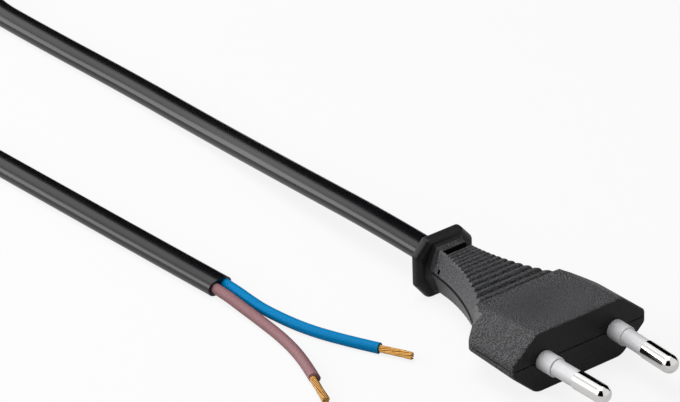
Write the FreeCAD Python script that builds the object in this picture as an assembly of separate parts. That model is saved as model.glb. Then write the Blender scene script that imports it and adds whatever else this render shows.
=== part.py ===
import FreeCAD, Part
import math
import os

Vector = FreeCAD.Vector

# A flat two-pole mains plug on a two-core lead with stripped ends.
# Millimetres, +Z up. The plug lies on its flat underside at z = 0, its pins point to -Y and the lead
# leaves to +Y. The origin is under the middle of the plug's own box.

# Moulded body, front block
BODY_WIDTH = 34.8
BODY_HEIGHT = 13.9
BODY_LENGTH = 45.6
SEAM_SHARE = 0.518
SIDE_FLAT = 2.8
TOP_FLAT = 22.4
BLOCK_SIDE_LENGTH = 14.3
BLOCK_LENGTH = 20.0
BLOCK_BACK_WIDTH = 19.6
BLOCK_BACK_HEIGHT = 9.75
BLOCK_BACK_RADIUS = 0.65
TOP_CORNER_RADIUS = 3.5
SIDE_CORNER_RADIUS = 1.3
SHOULDER_RADIUS = 1.6
FRONT_EDGE_RADIUS = 0.5
SEAM_WIDTH = 0.3
SEAM_DEPTH = 0.25

# Flared neck with its ribs, and the collar that ends it
NECK_ROOT_WIDTH = 25.0
NECK_WAIST_WIDTH = 14.6
NECK_WAIST_FROM_FRONT = 29.0
NECK_END_WIDTH = 9.8
NECK_DRAFT = 1.8
NECK_STEP = 0.25
NECK_ROOT_HEIGHT = 9.55
NECK_END_HEIGHT = 10.37
NECK_SUNK = 2.0
RIB_COUNT = 13
RIB_SHRINK = 0.93
RIB_DEPTH_SHARE = 0.28
RIBS_END_FROM_COLLAR = 3.9
COLLAR_WIDTH = 14.9
COLLAR_THICKNESS = 2.9
COLLAR_TOP_FLAT = 9.2
COLLAR_SIDE_FLAT = 6.9
COLLAR_BACK_RADIUS = 0.9
COLLAR_FRONT_RADIUS = 1.0
LEDGE_LENGTH = 0.9
LEDGE_SHARE = 0.8
LEDGE_EDGE_RADIUS = 2.0
LEDGE_FRONT_RADIUS = 0.6
SLOT_WIDTH = 6.2
SLOT_LENGTH = 1.5
SLOT_DEPTH = 1.9
SLOT_FROM_COLLAR = 3.2
SIDE_SLOT_HEIGHT = 1.2
SIDE_SLOT_LENGTH = 0.7
SIDE_SLOT_DEPTH = 0.8
SIDE_SLOT_RISE = 0.9

# Pins, their insulating sleeves and the bridge that holds both
PIN_DIAMETER = 4.0
PIN_LENGTH = 19.0
PIN_SPACING_AT_FACE = 18.6
PIN_SPACING_AT_TIP = 17.5
SHANK_DIAMETER = 3.0
BARE_LENGTH = 9.0
SLEEVE_DIAMETER = 3.66
STUB_DIAMETER = 4.36
STUB_LENGTH = 4.0
BRIDGE_WIDTH = 26.0
BRIDGE_HEIGHT = 6.4
BRIDGE_DEPTH = 5.0
BRIDGE_FROM_FRONT = 1.5
BRIDGE_EDGE_RADIUS = 0.8
FLANGE_DIAMETER = 4.8
FLANGE_LENGTH = 1.5
CRIMP_DIAMETER = 3.2
CRIMP_LENGTH = 4.0
CRIMP_BORE_DEPTH = 3.5

# Lead: flat sheath, two insulated cores, bare copper ends
CORD_WIDTH = 6.0
CORD_THICKNESS = 3.4
CORD_GRIP = 12.6
CORE_DIAMETER = 2.4
CORE_SPACING = 2.7
STRAND_DIAMETER = 1.4
BLUE_BARE_LENGTH = 7.6
BROWN_BARE_LENGTH = 9.2
CORES_SUNK = 3.0
FLOOR_CLEARANCE = 0.05
ROUND_SHARE = 0.45

# Put-away coil and its tie
COIL_CENTRE_X = -20.5
COIL_CENTRE_Y = 291.4
COIL_MEAN_RADIUS = 35.0
COIL_RING_PITCH = 6.2
COIL_LAYER_PITCH = 3.5
COIL_RINGS = 2
COIL_LAYERS = 3
COIL_SLACK = 0.2
COIL_EDGE_CHAMFER = 1.4
COIL_LEAD = 24.0
TIE_WIDTH = 5.0
TIE_THICKNESS = 0.9
TIE_PROUD = 0.6

# Where the cores inside the neck turn, as shares of the way from the block to the sheath
CORE_SLANT_SHARE = 0.55
CORE_STRAIGHT_SHARE = 0.8

# Two places closer than this are the same
SAME_PLACE = 1e-6

# Worked out from the sizes above
FRONT_Y = (PIN_LENGTH - BODY_LENGTH) / 2
MID_Z = SEAM_SHARE * BODY_HEIGHT
COLLAR_HEIGHT = BODY_HEIGHT
COLLAR_FRONT = BODY_LENGTH - COLLAR_THICKNESS
RIBS_END = COLLAR_FRONT - RIBS_END_FROM_COLLAR
PIN_LEAN = math.degrees(math.atan((PIN_SPACING_AT_FACE - PIN_SPACING_AT_TIP) / 2 / PIN_LENGTH))
SLEEVE_END = PIN_LENGTH - BARE_LENGTH
BRIDGE_BACK = BRIDGE_FROM_FRONT + BRIDGE_DEPTH
CRIMP_START = BRIDGE_BACK + FLANGE_LENGTH
PIN_BACK = CRIMP_START + CRIMP_LENGTH
CORD_START = BODY_LENGTH - CORD_GRIP
COIL_HEIGHT = COIL_LAYERS * COIL_LAYER_PITCH
COIL_HALF_BUNDLE = (COIL_RINGS - 1) * COIL_RING_PITCH / 2 + CORD_WIDTH / 2 + COIL_SLACK
COIL_OUTER_TURN = COIL_MEAN_RADIUS + (COIL_RINGS - 1) * COIL_RING_PITCH / 2
COIL_LEAD_Y = COIL_CENTRE_Y - COIL_LEAD
CORD_LOW_Z = CORD_THICKNESS / 2 + FLOOR_CLEARANCE
COIL_TOP_Z = CORD_LOW_Z + (COIL_LAYERS - 1) * COIL_LAYER_PITCH

# Routes of the lead, points chosen by hand from the plug to the coil and from the coil to the cut end
PLUG_ROUTE = [
    (0.0, FRONT_Y + CORD_START, MID_Z),
    (0.0, 48.0, MID_Z),
    (0.0, 80.5, 5.4),
    (1.0, 115.1, 2.7),
    (1.2, 147.2, CORD_LOW_Z),
    (-1.1, 179.6, CORD_LOW_Z),
    (-2.5, 209.7, CORD_LOW_Z),
    (COIL_CENTRE_X + COIL_OUTER_TURN, 243.4, CORD_LOW_Z),
    (COIL_CENTRE_X + COIL_OUTER_TURN, COIL_LEAD_Y, CORD_LOW_Z),
]
END_ROUTE = [
    (COIL_CENTRE_X - COIL_OUTER_TURN, COIL_LEAD_Y, COIL_TOP_Z),
    (COIL_CENTRE_X - COIL_OUTER_TURN, 243.4, COIL_TOP_Z),
    (-47.4, 206.2, 3.0),
    (-45.6, 174.9, CORD_LOW_Z),
    (-43.5, 143.5, CORD_LOW_Z),
    (-41.2, 114.0, CORD_LOW_Z),
    (-38.9, 86.4, CORD_LOW_Z),
    (-36.5, 59.7, CORD_LOW_Z),
]
BLUE_ROUTE = [
    (-34.9, 56.7, CORD_LOW_Z),
    (-34.6, 51.8, 1.45),
    (-34.9, 45.7, 1.25),
    (-32.9, 35.1, CORE_DIAMETER / 2),
    (-29.1, 25.7, CORE_DIAMETER / 2),
    (-25.9, 19.4, CORE_DIAMETER / 2),
]
BROWN_ROUTE = [
    (-37.6, 56.7, CORD_LOW_Z),
    (-37.2, 51.8, 1.45),
    (-37.5, 45.7, 1.25),
    (-38.7, 35.1, CORE_DIAMETER / 2),
    (-40.6, 26.1, CORE_DIAMETER / 2),
    (-43.5, 19.0, CORE_DIAMETER / 2),
]


def from_front(distance):
    """Y of a place that lies so far behind the front face."""
    return FRONT_Y + distance


def polygon_face(points):
    """Flat face inside a closed outline of straight sides."""
    return Part.Face(Part.makePolygon(points + [points[0]]))


def unit(vector):
    """Copy of a vector with length one."""
    return vector * (1.0 / vector.Length)


def edge_z(height, side):
    """Z of the upper (+1) or lower (-1) edge of something that high, which the seam divides."""
    share = 1 - SEAM_SHARE if side > 0 else SEAM_SHARE
    return MID_Z + side * share * height


def octagon(width, height, top_flat, side_flat, y):
    """Upright octagonal face about the plug's axis, at one place along it."""
    half_width = width / 2
    half_top = top_flat / 2
    corners = []
    for side in (1, -1):
        flat_z = edge_z(side_flat, side)
        top_z = edge_z(height, side)
        corners += [(side * half_width, flat_z), (side * half_top, top_z)]
        corners += [(-side * half_top, top_z), (-side * half_width, flat_z)]
    return polygon_face([Vector(x, y, z) for x, z in corners])


def edges_along_y(shape):
    """Straight edges that run front to back."""
    found = []
    for edge in shape.Edges:
        ends = edge.Vertexes
        if len(ends) == 2:
            run = ends[1].Point - ends[0].Point
            if abs(run.y) > 0.999 * run.Length:
                found.append(edge)
    return found


def edges_on_plane_y(shape, y):
    """Edges that lie wholly at one place along the plug's axis."""
    found = []
    for edge in shape.Edges:
        box = edge.BoundBox
        if abs(box.YMin - y) < SAME_PLACE and abs(box.YMax - y) < SAME_PLACE:
            found.append(edge)
    return found


def rounded_outline(corners):
    """Closed wire of straight sides whose corners, each given with its radius, are arcs."""
    edges = []
    count = len(corners)
    joins = []
    for index, (corner, radius) in enumerate(corners):
        back = unit(corners[index - 1][0] - corner)
        ahead = unit(corners[(index + 1) % count][0] - corner)
        half_turn = (math.pi - back.getAngle(ahead)) / 2
        tangent = radius * math.tan(half_turn)
        inward = unit(back + ahead)
        middle = corner + inward * (radius / math.cos(half_turn) - radius)
        joins.append((corner + back * tangent, middle, corner + ahead * tangent))
    for index, (first, middle, last) in enumerate(joins):
        edges.append(Part.Arc(first, middle, last).toShape())
        edges.append(Part.LineSegment(last, joins[(index + 1) % count][0]).toShape())
    return Part.Wire(edges)


def block_section(height, y):
    """Eight-sided outline of the block at one place along it, flattened to the given height."""
    squash = height / BODY_HEIGHT
    half = BODY_WIDTH / 2
    side = (half, squash * SIDE_FLAT, SIDE_CORNER_RADIUS)
    top = (TOP_FLAT / 2, height, TOP_CORNER_RADIUS)
    quarters = [(1, 1, (side, top)), (-1, 1, (top, side)), (-1, -1, (side, top)), (1, -1, (top, side))]
    corners = []
    for x_sign, z_sign, pair in quarters:
        for x, tall, radius in pair:
            corners.append((Vector(x_sign * x, y, edge_z(tall, z_sign)), radius))
    return rounded_outline(corners)


def front_block():
    """Eight-sided block that gets thinner to the back, cut in plan by the slanting shoulders."""
    back_y = from_front(BLOCK_LENGTH)
    sections = [block_section(BODY_HEIGHT, FRONT_Y), block_section(BLOCK_BACK_HEIGHT, back_y)]
    block = Part.makeLoft(sections, True, True)
    block = block.makeFillet(FRONT_EDGE_RADIUS, edges_on_plane_y(block, FRONT_Y))
    block = block.makeFillet(BLOCK_BACK_RADIUS, edges_on_plane_y(block, back_y))
    half = BODY_WIDTH / 2
    back = BLOCK_BACK_WIDTH / 2
    side_y = from_front(BLOCK_SIDE_LENGTH)
    plan = polygon_face([
        Vector(-half, FRONT_Y, 0), Vector(half, FRONT_Y, 0), Vector(half, side_y, 0),
        Vector(back, back_y, 0), Vector(-back, back_y, 0), Vector(-half, side_y, 0),
    ])
    shoulders = plan.extrude(Vector(0, 0, BODY_HEIGHT))
    corners = []
    for edge in shoulders.Edges:
        upright = edge.BoundBox.ZLength > BODY_HEIGHT / 2
        if upright and abs(edge.CenterOfMass.y - side_y) < SAME_PLACE:
            corners.append(edge)
    shoulders = shoulders.makeFillet(SHOULDER_RADIUS, corners)
    return block.common(shoulders)


def neck_outline(inset, z):
    """Plan of the neck at one height: two hollow curved sides and two straight ends."""
    root_y = from_front(BLOCK_LENGTH - NECK_SUNK)
    waist_y = from_front(NECK_WAIST_FROM_FRONT)
    end_y = from_front(COLLAR_FRONT)
    root = NECK_ROOT_WIDTH / 2 - inset
    waist = NECK_WAIST_WIDTH / 2 - inset
    end = NECK_END_WIDTH / 2 - inset
    right = Part.Arc(Vector(root, root_y, z), Vector(waist, waist_y, z), Vector(end, end_y, z)).toShape()
    far = Part.LineSegment(Vector(end, end_y, z), Vector(-end, end_y, z)).toShape()
    left = Part.Arc(Vector(-end, end_y, z), Vector(-waist, waist_y, z), Vector(-root, root_y, z)).toShape()
    near = Part.LineSegment(Vector(-root, root_y, z), Vector(root, root_y, z)).toShape()
    return Part.Wire([right, far, left, near])


def rib_places():
    """Where each rib begins and ends, wide at the block and finer towards the collar."""
    span = RIBS_END - BLOCK_LENGTH
    pitch = span * (1 - RIB_SHRINK) / (1 - RIB_SHRINK ** RIB_COUNT)
    start = BLOCK_LENGTH
    places = []
    for _ in range(RIB_COUNT):
        places.append((start, start + pitch))
        start += pitch
        pitch *= RIB_SHRINK
    return places


def neck_height(distance):
    """Thickness of the neck over the tops of its ribs, at a distance behind the front face."""
    share = (distance - BLOCK_LENGTH) / (COLLAR_FRONT - BLOCK_LENGTH)
    return NECK_ROOT_HEIGHT + share * (NECK_END_HEIGHT - NECK_ROOT_HEIGHT)


def ribbed_profile(side):
    """Side view of the neck's upper (+1) or lower (-1) half, with one arc for each rib."""
    def place(distance, depth):
        return Vector(0, from_front(distance), edge_z(neck_height(distance) - 2 * depth, side))

    edges = []
    first_groove = None
    last_groove = None
    for start, end in rib_places():
        depth = RIB_DEPTH_SHARE * (end - start)
        begin = last_groove or place(start, depth)
        first_groove = first_groove or begin
        last_groove = place(end, depth)
        edges.append(Part.Arc(begin, place((start + end) / 2, 0), last_groove).toShape())
    root = Vector(0, from_front(BLOCK_LENGTH - NECK_SUNK), first_groove.z)
    collar_edge = Vector(0, from_front(COLLAR_FRONT), last_groove.z)
    seam = [Vector(0, root.y, MID_Z), Vector(0, collar_edge.y, MID_Z)]
    outline = [first_groove, root] + seam + [collar_edge, last_groove]
    edges += [Part.LineSegment(a, b).toShape() for a, b in zip(outline, outline[1:])]
    return Part.Face(Part.Wire(Part.__sortEdges__(edges)))


def neck():
    """Flared neck: drafted walls that meet at the seam, cut to the ribbed side view."""
    halves = []
    for side in (1, -1):
        step = 0.0 if side > 0 else NECK_STEP
        inner = neck_outline(NECK_DRAFT - step, edge_z(neck_height(COLLAR_FRONT), side))
        walls = Part.makeLoft([neck_outline(-step, MID_Z), inner], True, True)
        profile = ribbed_profile(side)
        profile.translate(Vector(-BODY_WIDTH, 0, 0))
        halves.append(walls.common(profile.extrude(Vector(2 * BODY_WIDTH, 0, 0))))
    return halves


def collar():
    """Eight-sided collar with rounded rims and a smaller, softer ledge in front of it."""
    ring = octagon(COLLAR_WIDTH, COLLAR_HEIGHT, COLLAR_TOP_FLAT, COLLAR_SIDE_FLAT, from_front(COLLAR_FRONT))
    ring = ring.extrude(Vector(0, COLLAR_THICKNESS, 0))
    ring = ring.makeFillet(COLLAR_BACK_RADIUS, edges_on_plane_y(ring, from_front(BODY_LENGTH)))
    ring = ring.makeFillet(COLLAR_FRONT_RADIUS, edges_on_plane_y(ring, from_front(COLLAR_FRONT)))
    sizes = [COLLAR_WIDTH, COLLAR_HEIGHT, COLLAR_TOP_FLAT, COLLAR_SIDE_FLAT]
    ledge_y = from_front(COLLAR_FRONT - LEDGE_LENGTH)
    ledge = octagon(*[LEDGE_SHARE * size for size in sizes], ledge_y)
    ledge = ledge.extrude(Vector(0, LEDGE_LENGTH + COLLAR_THICKNESS / 2, 0))
    ledge = ledge.makeFillet(LEDGE_EDGE_RADIUS, edges_along_y(ledge))
    return [ring, ledge.makeFillet(LEDGE_FRONT_RADIUS, edges_on_plane_y(ledge, ledge_y))]


def upright_box(width, length, height, middle):
    """Box of the given size about its middle point."""
    return Part.makeBox(width, length, height, middle - Vector(width / 2, length / 2, height / 2))


def relief_slots():
    """Slots in front of the collar that let the neck bend: one above, one below and one on each side."""
    y = from_front(COLLAR_FRONT - SLOT_FROM_COLLAR)
    half_width = NECK_END_WIDTH / 2
    cuts = []
    for side in (1, -1):
        middle = Vector(0, y, edge_z(neck_height(RIBS_END), side))
        cuts.append(upright_box(SLOT_WIDTH, SLOT_LENGTH, 2 * SLOT_DEPTH, middle))
        middle = Vector(side * half_width, y, MID_Z + SIDE_SLOT_RISE)
        cuts.append(upright_box(2 * SIDE_SLOT_DEPTH, SIDE_SLOT_LENGTH, SIDE_SLOT_HEIGHT, middle))
    return cuts


def front_seam():
    """Narrow groove across the front face where the two halves of the mould met."""
    return upright_box(BODY_WIDTH, 2 * SEAM_DEPTH, SEAM_WIDTH, Vector(0, FRONT_Y, MID_Z))


def place_on_pin(shape, side):
    """Move a shape made along the pin's own axis to the left (-1) or right (+1) pin."""
    base = Vector(side * PIN_SPACING_AT_FACE / 2, FRONT_Y, MID_Z)
    turned = shape.copy()
    turned.rotate(Vector(0, 0, 0), Vector(0, 0, 1), -side * PIN_LEAN)
    turned.translate(base)
    return turned


def rod(diameter, back, front):
    """Cylinder on the pin's axis between two distances in front of the face."""
    return Part.makeCylinder(diameter / 2, front - back, Vector(0, -back, 0), Vector(0, -1, 0))


def contact_pin(side):
    """Turned pin: round nose, shank under the sleeve, flange behind the bridge and a crimp for the wire."""
    radius = PIN_DIAMETER / 2
    pieces = [
        rod(SHANK_DIAMETER, -CRIMP_START, SLEEVE_END),
        rod(FLANGE_DIAMETER, -CRIMP_START, -BRIDGE_BACK),
        rod(CRIMP_DIAMETER, -PIN_BACK, -CRIMP_START),
        Part.makeSphere(radius, Vector(0, radius - PIN_LENGTH, 0)),
    ]
    pin = rod(PIN_DIAMETER, SLEEVE_END, PIN_LENGTH - radius).multiFuse(pieces).removeSplitter()
    bore = rod(STRAND_DIAMETER, -PIN_BACK, -PIN_BACK + CRIMP_BORE_DEPTH)
    return place_on_pin(pin.cut(bore), side)


def pin_sleeve(side):
    """Insulating sleeve between the bridge's stub and the bare end of the pin."""
    sleeve = rod(SLEEVE_DIAMETER, STUB_LENGTH, SLEEVE_END)
    return place_on_pin(sleeve.cut(rod(SHANK_DIAMETER, STUB_LENGTH, SLEEVE_END)), side)


def pin_bridge(pins):
    """Insert that holds both pins, with a short stub round each that stands out of the front face."""
    middle = Vector(0, from_front(BRIDGE_FROM_FRONT + BRIDGE_DEPTH / 2), MID_Z)
    bar = upright_box(BRIDGE_WIDTH, BRIDGE_DEPTH, BRIDGE_HEIGHT, middle)
    bar = bar.makeFillet(BRIDGE_EDGE_RADIUS, edges_along_y(bar))
    stubs = [place_on_pin(rod(STUB_DIAMETER, -BRIDGE_BACK / 2, STUB_LENGTH), side) for side in (1, -1)]
    return bar.multiFuse(stubs).removeSplitter().cut(Part.Compound(pins))


def crimp_strands(side):
    """Bared copper of a core, pushed into the pin's crimp."""
    return place_on_pin(rod(STRAND_DIAMETER, -PIN_BACK, -PIN_BACK + CRIMP_BORE_DEPTH), side)


def flat_section(start, along):
    """Outline of the flat lead: two straight sides and two round edges, square to its run."""
    across = unit(along.cross(Vector(0, 0, 1)))
    upward = unit(across.cross(along))
    half = (CORD_WIDTH - CORD_THICKNESS) / 2
    radius = CORD_THICKNESS / 2

    def at(sideways, height):
        return start + across * sideways + upward * height

    top = Part.LineSegment(at(-half, radius), at(half, radius)).toShape()
    right = Part.Arc(at(half, radius), at(half + radius, 0), at(half, -radius)).toShape()
    under = Part.LineSegment(at(half, -radius), at(-half, -radius)).toShape()
    left = Part.Arc(at(-half, -radius), at(-half - radius, 0), at(-half, radius)).toShape()
    return Part.Wire([top, right, under, left])


def follow_route(points, face, name):
    """Solid of one section along straight runs, joined by tangent arcs as large as the runs allow."""
    points = [Vector(*point) for point in points]
    expected = face.Area
    pieces = []
    radii = []
    length = 0.0
    start = points[0]
    for before, corner, after in zip(points, points[1:], points[2:]):
        back = before - corner
        ahead = after - corner
        turn = math.pi - back.getAngle(ahead)
        tangent = ROUND_SHARE * min(back.Length, ahead.Length)
        radius = tangent / math.tan(turn / 2)
        inward = unit(unit(back) + unit(ahead))
        centre = corner + inward * (radius / math.cos(turn / 2))
        axis = ahead.cross(back)
        run = corner + unit(back) * tangent - start
        pieces.append(face.extrude(run))
        face.translate(run)
        pieces.append(face.revolve(centre, axis, math.degrees(turn)))
        face.rotate(centre, axis, math.degrees(turn))
        start = corner + unit(ahead) * tangent
        length += run.Length + radius * turn
        radii.append(round(radius, 1))
    last = points[-1] - start
    pieces.append(face.extrude(last))
    length += last.Length
    solid = pieces[0].multiFuse(pieces[1:]).removeSplitter()
    share = solid.Volume / (expected * length)
    print(name, "length", round(length, 1), "radii", radii, "volume share", round(share, 5))
    return solid


def flat_lead(points, name):
    """Stretch of the flat lead along a route."""
    start = Vector(*points[0])
    section = flat_section(start, unit(Vector(*points[1]) - start))
    return follow_route(points, Part.Face(section), name)


def core(points, name):
    """Insulated core along a route."""
    start = Vector(*points[0])
    circle = Part.makeCircle(CORE_DIAMETER / 2, start, unit(Vector(*points[1]) - start))
    return follow_route(points, Part.Face(Part.Wire(circle)), name)


def end_core(points, side, name):
    """Core at the cut end: it starts inside the sheath, left (-1) or right (+1), and follows its route."""
    cut = Vector(*END_ROUTE[-1])
    along = unit(cut - Vector(*END_ROUTE[-2]))
    across = along.cross(Vector(0, 0, 1))
    inside = cut - along * CORES_SUNK - across * (side * CORE_SPACING / 2)
    return core([tuple(inside)] + points, name)


def bare_end(points, length):
    """Bare twisted copper that carries on from the end of a core."""
    end = Vector(*points[-1])
    return Part.makeCylinder(STRAND_DIAMETER / 2, length, end, end - Vector(*points[-2]))


def inner_route(side):
    """Way of a core inside the body, from its crimp to the end of the sheath."""
    lean = math.radians(PIN_LEAN)
    spread = PIN_SPACING_AT_FACE / 2
    gap = CORE_SPACING / 2
    bend_start = (PIN_BACK + BLOCK_LENGTH) / 2
    neck_run = CORD_START - BLOCK_LENGTH
    stations = [
        (spread + PIN_BACK * math.sin(lean), PIN_BACK * math.cos(lean)),
        (spread + bend_start * math.sin(lean), bend_start * math.cos(lean)),
        ((spread + gap) / 2 - gap, BLOCK_LENGTH + CORE_SLANT_SHARE * neck_run),
        (gap, BLOCK_LENGTH + CORE_STRAIGHT_SHARE * neck_run),
        (gap, CORD_START),
    ]
    return [(side * x, from_front(y), MID_Z) for x, y in stations]


def coil_tie():
    """Band round the far side of the coil."""
    near = COIL_CENTRE_Y + COIL_MEAN_RADIUS - COIL_HALF_BUNDLE - TIE_PROUD
    far = COIL_CENTRE_Y + COIL_MEAN_RADIUS + COIL_HALF_BUNDLE + TIE_PROUD
    top = COIL_HEIGHT + TIE_PROUD
    left = COIL_CENTRE_X - TIE_WIDTH / 2
    outer = Part.makeBox(TIE_WIDTH, far - near, top, Vector(left, near, 0))
    wall = TIE_THICKNESS
    window = Part.makeBox(TIE_WIDTH, far - near - 2 * wall, top - 2 * wall, Vector(left, near + wall, wall))
    return outer.cut(window)


def coil(tie):
    """Outer shape of the wound lead, with the straight leads in and out of it."""
    centre = Vector(COIL_CENTRE_X, COIL_CENTRE_Y, 0)
    ring = Part.makeCylinder(COIL_MEAN_RADIUS + COIL_HALF_BUNDLE, COIL_HEIGHT, centre)
    ring = ring.cut(Part.makeCylinder(COIL_MEAN_RADIUS - COIL_HALF_BUNDLE, COIL_HEIGHT, centre))
    circles = [edge for edge in ring.Edges if edge.BoundBox.ZLength < SAME_PLACE]
    ring = ring.makeChamfer(COIL_EDGE_CHAMFER, circles)
    leads = []
    for side, z in ((1, CORD_LOW_Z), (-1, COIL_TOP_Z)):
        start = Vector(COIL_CENTRE_X + side * COIL_OUTER_TURN, COIL_LEAD_Y, z)
        along = Vector(0, COIL_LEAD, 0)
        leads.append(Part.Face(flat_section(start, unit(along))).extrude(along))
    return ring.multiFuse(leads).cut(tie)


def main():
    """Make every piece and write one file for each."""
    nodes = {}
    names = {-1: ("left", "blue"), 1: ("right", "brown")}
    for side, (hand, colour) in names.items():
        nodes["contact_pin_" + hand] = contact_pin(side)
        nodes["pin_sleeve_" + hand] = pin_sleeve(side)
        nodes["crimp_strands_" + colour] = crimp_strands(side)
        nodes["inner_core_" + colour] = core(inner_route(side), "inner_core_" + colour)
    pins = [nodes["contact_pin_left"], nodes["contact_pin_right"]]
    nodes["pin_bridge"] = pin_bridge(pins)
    nodes["cord_plug_run"] = flat_lead(PLUG_ROUTE, "cord_plug_run")
    inside = list(nodes.values())
    body = front_block().multiFuse(neck() + collar()).removeSplitter()
    body = body.cut(Part.Compound(relief_slots() + [front_seam()]))
    for piece in inside:
        body = body.cut(piece)
    nodes["plug_body"] = body
    nodes["cord_tie"] = coil_tie()
    nodes["cord_coil"] = coil(nodes["cord_tie"])
    nodes["blue_core_end"] = end_core(BLUE_ROUTE, 1, "blue_core_end")
    nodes["brown_core_end"] = end_core(BROWN_ROUTE, -1, "brown_core_end")
    end_run = flat_lead(END_ROUTE, "cord_end_run")
    nodes["cord_end_run"] = end_run.cut(nodes["blue_core_end"]).cut(nodes["brown_core_end"])
    nodes["blue_strands_end"] = bare_end(BLUE_ROUTE, BLUE_BARE_LENGTH)
    nodes["brown_strands_end"] = bare_end(BROWN_ROUTE, BROWN_BARE_LENGTH)
    os.makedirs("parts", exist_ok=True)
    for name, shape in nodes.items():
        solids = shape.Solids
        print(name, "solids", len(solids), "valid", shape.isValid(), "volume", round(shape.Volume, 1))
        shape.exportStep("parts/" + name + ".step")


main()
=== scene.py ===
import math
import random

import bmesh
import bpy
from bpy.props import FloatProperty, FloatVectorProperty, IntProperty, PointerProperty
from mathutils import Matrix, Vector


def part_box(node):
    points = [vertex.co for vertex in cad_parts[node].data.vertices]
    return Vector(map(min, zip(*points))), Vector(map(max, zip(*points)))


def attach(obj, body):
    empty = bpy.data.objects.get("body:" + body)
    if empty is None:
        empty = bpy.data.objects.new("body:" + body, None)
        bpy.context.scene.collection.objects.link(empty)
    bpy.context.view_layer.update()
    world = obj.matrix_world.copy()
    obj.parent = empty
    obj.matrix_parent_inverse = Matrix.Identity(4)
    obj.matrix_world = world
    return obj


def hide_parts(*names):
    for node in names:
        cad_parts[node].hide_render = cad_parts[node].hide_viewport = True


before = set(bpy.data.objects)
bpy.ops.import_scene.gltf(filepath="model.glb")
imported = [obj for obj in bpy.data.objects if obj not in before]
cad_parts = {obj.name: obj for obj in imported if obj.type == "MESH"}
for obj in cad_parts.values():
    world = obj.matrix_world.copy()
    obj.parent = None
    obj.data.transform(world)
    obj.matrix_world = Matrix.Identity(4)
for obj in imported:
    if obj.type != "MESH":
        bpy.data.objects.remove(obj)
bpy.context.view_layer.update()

bl_info = {
    "name": "Flat mains plug with a lead",
    "version": (1, 0, 0),
    "blender": (4, 5, 0),
    "location": "View3D > Sidebar > Plug",
    "description": "Builds the moulded plug, its pins and its stripped lead around the packed model",
    "category": "Object",
}

# Lengths are in metres in Blender; the sizes below are written in millimetres and turned by this value
MM = 0.001
BODY_LOW, BODY_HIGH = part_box("plug_body")
TIE_LOW, TIE_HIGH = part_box("cord_tie")
FRONT_Y = BODY_LOW.y / MM
BODY_LENGTH = (BODY_HIGH.y - BODY_LOW.y) / MM
BODY_HEIGHT = (BODY_HIGH.z - BODY_LOW.z) / MM

# Moulded body, in millimetres; the seam divides every height into the same two shares
SEAM_SHARE = 0.518
UPPER_SHARE = 1 - SEAM_SHARE
MID_Z = SEAM_SHARE * BODY_HEIGHT
SEAM_WIDTH = 0.3
SEAM_DEPTH = 0.25
SEAM_END_MARGIN = 0.5
SIDE_FLAT = 2.8
TOP_FLAT = 22.4
TOP_CORNER_RADIUS = 3.5
SIDE_CORNER_RADIUS = 1.3
FRONT_EDGE_RADIUS = 0.5
BLOCK_SIDE_LENGTH = 14.3
BLOCK_LENGTH = 20.0
BLOCK_BACK_WIDTH = 19.6
BLOCK_BACK_HEIGHT = 9.75
BLOCK_BACK_RADIUS = 0.65
SHOULDER_RADIUS = 1.6
SHOULDER_STEPS = 16
NECK_ROOT_FROM_FRONT = 18.0
NECK_ROOT_WIDTH = 25.0
NECK_WAIST_WIDTH = 14.6
NECK_WAIST_FROM_FRONT = 29.0
NECK_END_WIDTH = 9.8
NECK_DRAFT = 1.8
NECK_STEP = 0.3
NECK_SIDE_FLAT = 0.5
NECK_SIDE_RADIUS = 0.05
NECK_SEAM_DEPTH = 0.4
NECK_SEAM_SHARE = 0.4
NECK_ROOT_HEIGHT = 9.55
NECK_END_HEIGHT = 10.37
NECK_EDGE_RADIUS = 0.45
RIB_COUNT = 13
RIB_SHRINK = 0.93
RIB_DEPTH_SHARE = 0.28
RIB_END_DEPTH_SHARE = 0.16
RIBS_END_FROM_COLLAR = 3.9
RIB_CREST = 0.25
RIB_BACK_POWER = 1.5
RIB_STEPS = 8
LAST_RIB_STEP = 0.1
COLLAR_THICKNESS = 2.9
COLLAR_FROM_FRONT = BODY_LENGTH - COLLAR_THICKNESS
COLLAR_WIDTH = 14.9
COLLAR_TOP_FLAT = 9.2
COLLAR_SIDE_FLAT = 6.9
COLLAR_BACK_RADIUS = 0.9
COLLAR_FRONT_RADIUS = 1.5
COLLAR_EDGE_RADIUS = 1.0
COLLAR_INSET_SHARE = 0.4
COLLAR_STEPS = 6
FLARE_STEPS = 10
FLARE_SIDE_LENGTH = 2.6
FLARE_TOP_LENGTH = 1.1
FLARE_SHARE = 0.4
# Share of the flare in front of the collar that takes the darker smooth finish, as painted shade
FLARE_PAINTED_SHADE_SHARE = 0.6
SLOT_FROM_FRONT = COLLAR_FROM_FRONT - 3.2
SLOT_WIDTH = 6.2
SLOT_LENGTH = 1.5
SLOT_DEPTH = 1.9
SLOT_EDGE = 0.05
SIDE_SLOT_HEIGHT = 1.2
SIDE_SLOT_LENGTH = 0.7
SIDE_SLOT_DEPTH = 0.8
SIDE_SLOT_RISE = 0.9
LEAD_HOLE_DEPTH = 2.0
LEAD_HOLE_RADIUS = 1.2
LEAD_HOLE_SIDE_SHARE = 0.3
DISH_DEPTH = 0.5
DISH_FROM_FRONT = 9.0
DISH_REACH = (9.0, 7.5)
DISH_RISE_SHARE = 0.95
WORN_FROM = 6.0
WORN_TO = 14.0
WORN_GRAIN_LEFT = 0.3
ARC_STEPS = 6
ARC_LIMIT_SHARE = 0.48
FLAT_STEPS = 7
EDGE_STEPS = 4
SHARP_ANGLE = math.radians(38)
FACES_SIDEWAYS = 0.5
FACES_ALONG = 0.9
# Body finishes by material slot; the smooth one is a darker copy of the body PVC, painted shade on the front
# face, the collar, the relief slots and the neck seam
GRAINED, SMOOTH_PAINTED_SHADE, FINE = range(3)

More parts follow.
